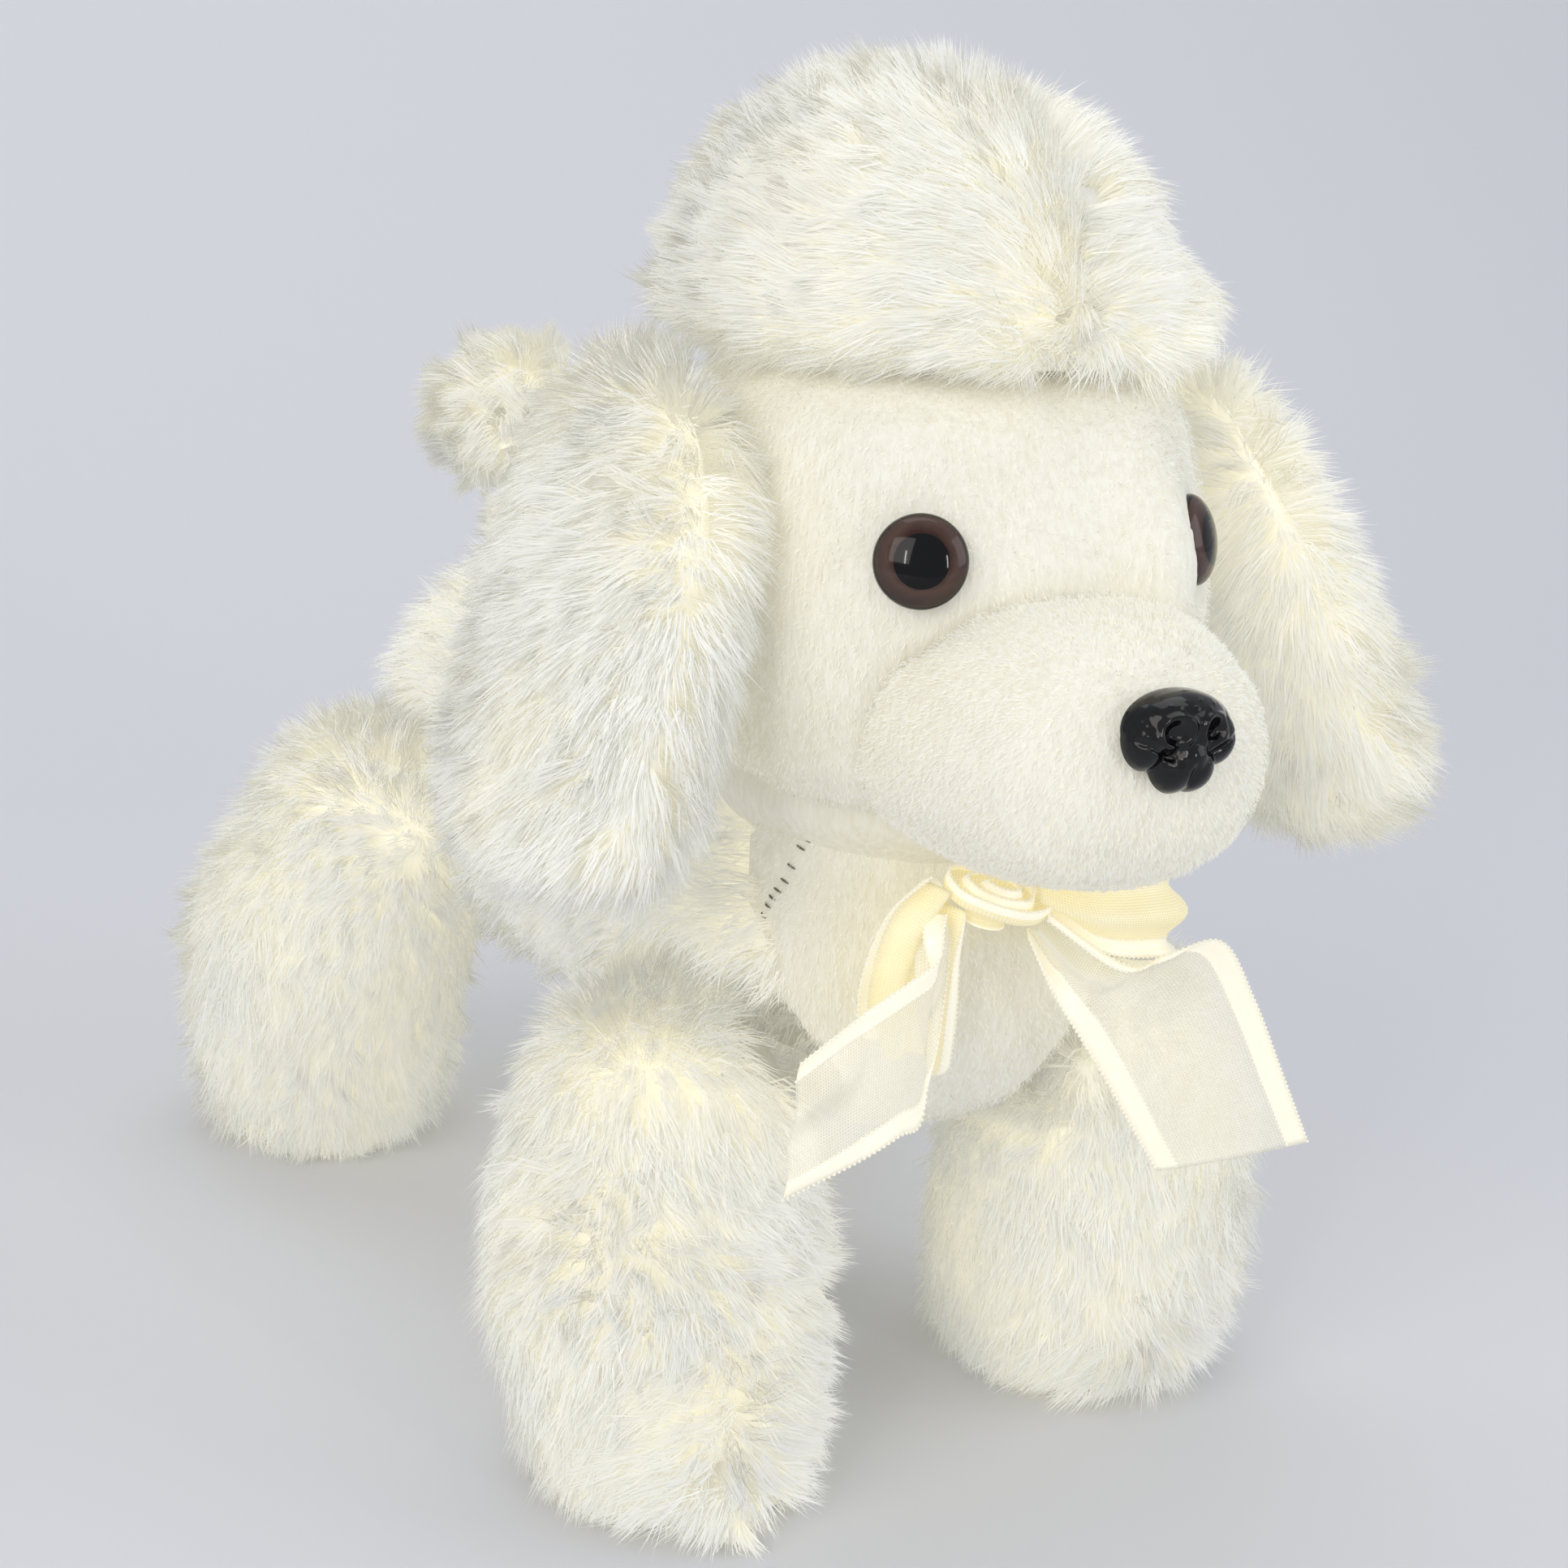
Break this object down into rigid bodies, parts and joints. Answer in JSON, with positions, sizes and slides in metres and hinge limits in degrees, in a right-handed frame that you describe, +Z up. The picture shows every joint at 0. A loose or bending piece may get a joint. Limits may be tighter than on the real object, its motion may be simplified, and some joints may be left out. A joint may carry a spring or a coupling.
{
  "type": "plush toy dog",
  "caption": "Standing long-pile poodle soft toy with hanging ears, a full topknot, plastic eyes and nose, and a ribbon bow under the chin.",
  "frame": {"origin": "on the floor, at the middle of the box that bounds the standing dog", "axes": "-Y is the way the dog faces, +X is its left side, +Z is up"},
  "size_m": [0.188, 0.319, 0.262],
  "materials": {
    "long_pile": "long soft polyester pile, slightly glossy",
    "short_pile": "short cropped velour pile",
    "stuffing": "loose polyester fibre",
    "eye_plastic": "polished clear-coated brown and black plastic",
    "nose_plastic": "polished moulded black plastic",
    "washer_plastic": "matt natural polyethylene",
    "ribbon": "sheer organza with satin edges"
  },
  "bodies": {
    "trunk": {"body_coat": "long_pile", "chest_panel": "short_pile", "body_stuffing": "stuffing", "bow_rosette": "ribbon", "bow_loop_left": "ribbon", "bow_loop_right": "ribbon"},
    "neck": {"neck_stuffing": "stuffing"},
    "head": {"face_cover": "short_pile", "muzzle_cover": "short_pile", "head_stuffing": "stuffing", "muzzle_stuffing": "stuffing", "topknot_right": "long_pile", "topknot_left": "long_pile", "topknot_stuffing": "stuffing", "eye_right": "eye_plastic", "eye_right_washer": "washer_plastic", "eye_left": "eye_plastic", "eye_left_washer": "washer_plastic", "nose": "nose_plastic", "nose_washer": "washer_plastic"},
    "ear_right": {"ear_right": "long_pile"},
    "ear_left": {"ear_left": "long_pile"},
    "tail": {"tail_stalk": "long_pile", "tail_pompom": "long_pile", "tail_pompom_stuffing": "stuffing"},
    "bow_tail_right": {"bow_tail_right": "ribbon"},
    "bow_tail_left": {"bow_tail_left": "ribbon"},
    "front_leg_right": {"front_leg_right": "long_pile", "front_leg_right_stuffing": "stuffing"},
    "front_leg_left": {"front_leg_left": "long_pile", "front_leg_left_stuffing": "stuffing"},
    "rear_leg_right": {"rear_leg_right": "long_pile", "rear_leg_right_stuffing": "stuffing"},
    "rear_leg_left": {"rear_leg_left": "long_pile", "rear_leg_left_stuffing": "stuffing"}
  },
  "joints": [
    {"name": "head_turn", "type": "hinge", "parent": "trunk", "child": "neck", "pos_m": [0, -0.056, 0.132], "axis": [0, 0, 1], "range_deg": [-20, 20], "stiffness_Nm_per_rad": 1},
    {"name": "head_nod", "type": "hinge", "parent": "neck", "child": "head", "pos_m": [0, -0.056, 0.132], "axis": [-1, 0, 0], "range_deg": [0, 10], "stiffness_Nm_per_rad": 3},
    {"name": "ear_right_lift", "type": "hinge", "parent": "head", "child": "ear_right", "pos_m": [-0.05, -0.058, 0.207], "axis": [0, 1, 0], "range_deg": [0, 50]},
    {"name": "ear_left_lift", "type": "hinge", "parent": "head", "child": "ear_left", "pos_m": [0.05, -0.058, 0.207], "axis": [0, -1, 0], "range_deg": [0, 50]},
    {"name": "front_leg_right_swing", "type": "hinge", "parent": "trunk", "child": "front_leg_right", "pos_m": [-0.044, -0.06, 0.076], "axis": [1, 0, 0], "range_deg": [-18, 18], "stiffness_Nm_per_rad": 5},
    {"name": "front_leg_left_swing", "type": "hinge", "parent": "trunk", "child": "front_leg_left", "pos_m": [0.044, -0.06, 0.076], "axis": [1, 0, 0], "range_deg": [-18, 18], "stiffness_Nm_per_rad": 5},
    {"name": "rear_leg_right_swing", "type": "hinge", "parent": "trunk", "child": "rear_leg_right", "pos_m": [-0.047, 0.1, 0.082], "axis": [1, 0, 0], "range_deg": [-18, 18], "stiffness_Nm_per_rad": 5},
    {"name": "rear_leg_left_swing", "type": "hinge", "parent": "trunk", "child": "rear_leg_left", "pos_m": [0.047, 0.1, 0.082], "axis": [1, 0, 0], "range_deg": [-18, 18], "stiffness_Nm_per_rad": 5},
    {"name": "tail_wag", "type": "hinge", "parent": "trunk", "child": "tail", "pos_m": [0, 0.12, 0.124], "axis": [0, 1, 0], "range_deg": [-30, 30], "stiffness_Nm_per_rad": 0.15},
    {"name": "bow_tail_right_lift", "type": "hinge", "parent": "trunk", "child": "bow_tail_right", "pos_m": [-0.016, -0.104, 0.112], "axis": [-1, 0, 0], "range_deg": [0, 50]},
    {"name": "bow_tail_left_lift", "type": "hinge", "parent": "trunk", "child": "bow_tail_left", "pos_m": [0.022, -0.104, 0.112], "axis": [-1, 0, 0], "range_deg": [0, 50]}
  ]
}
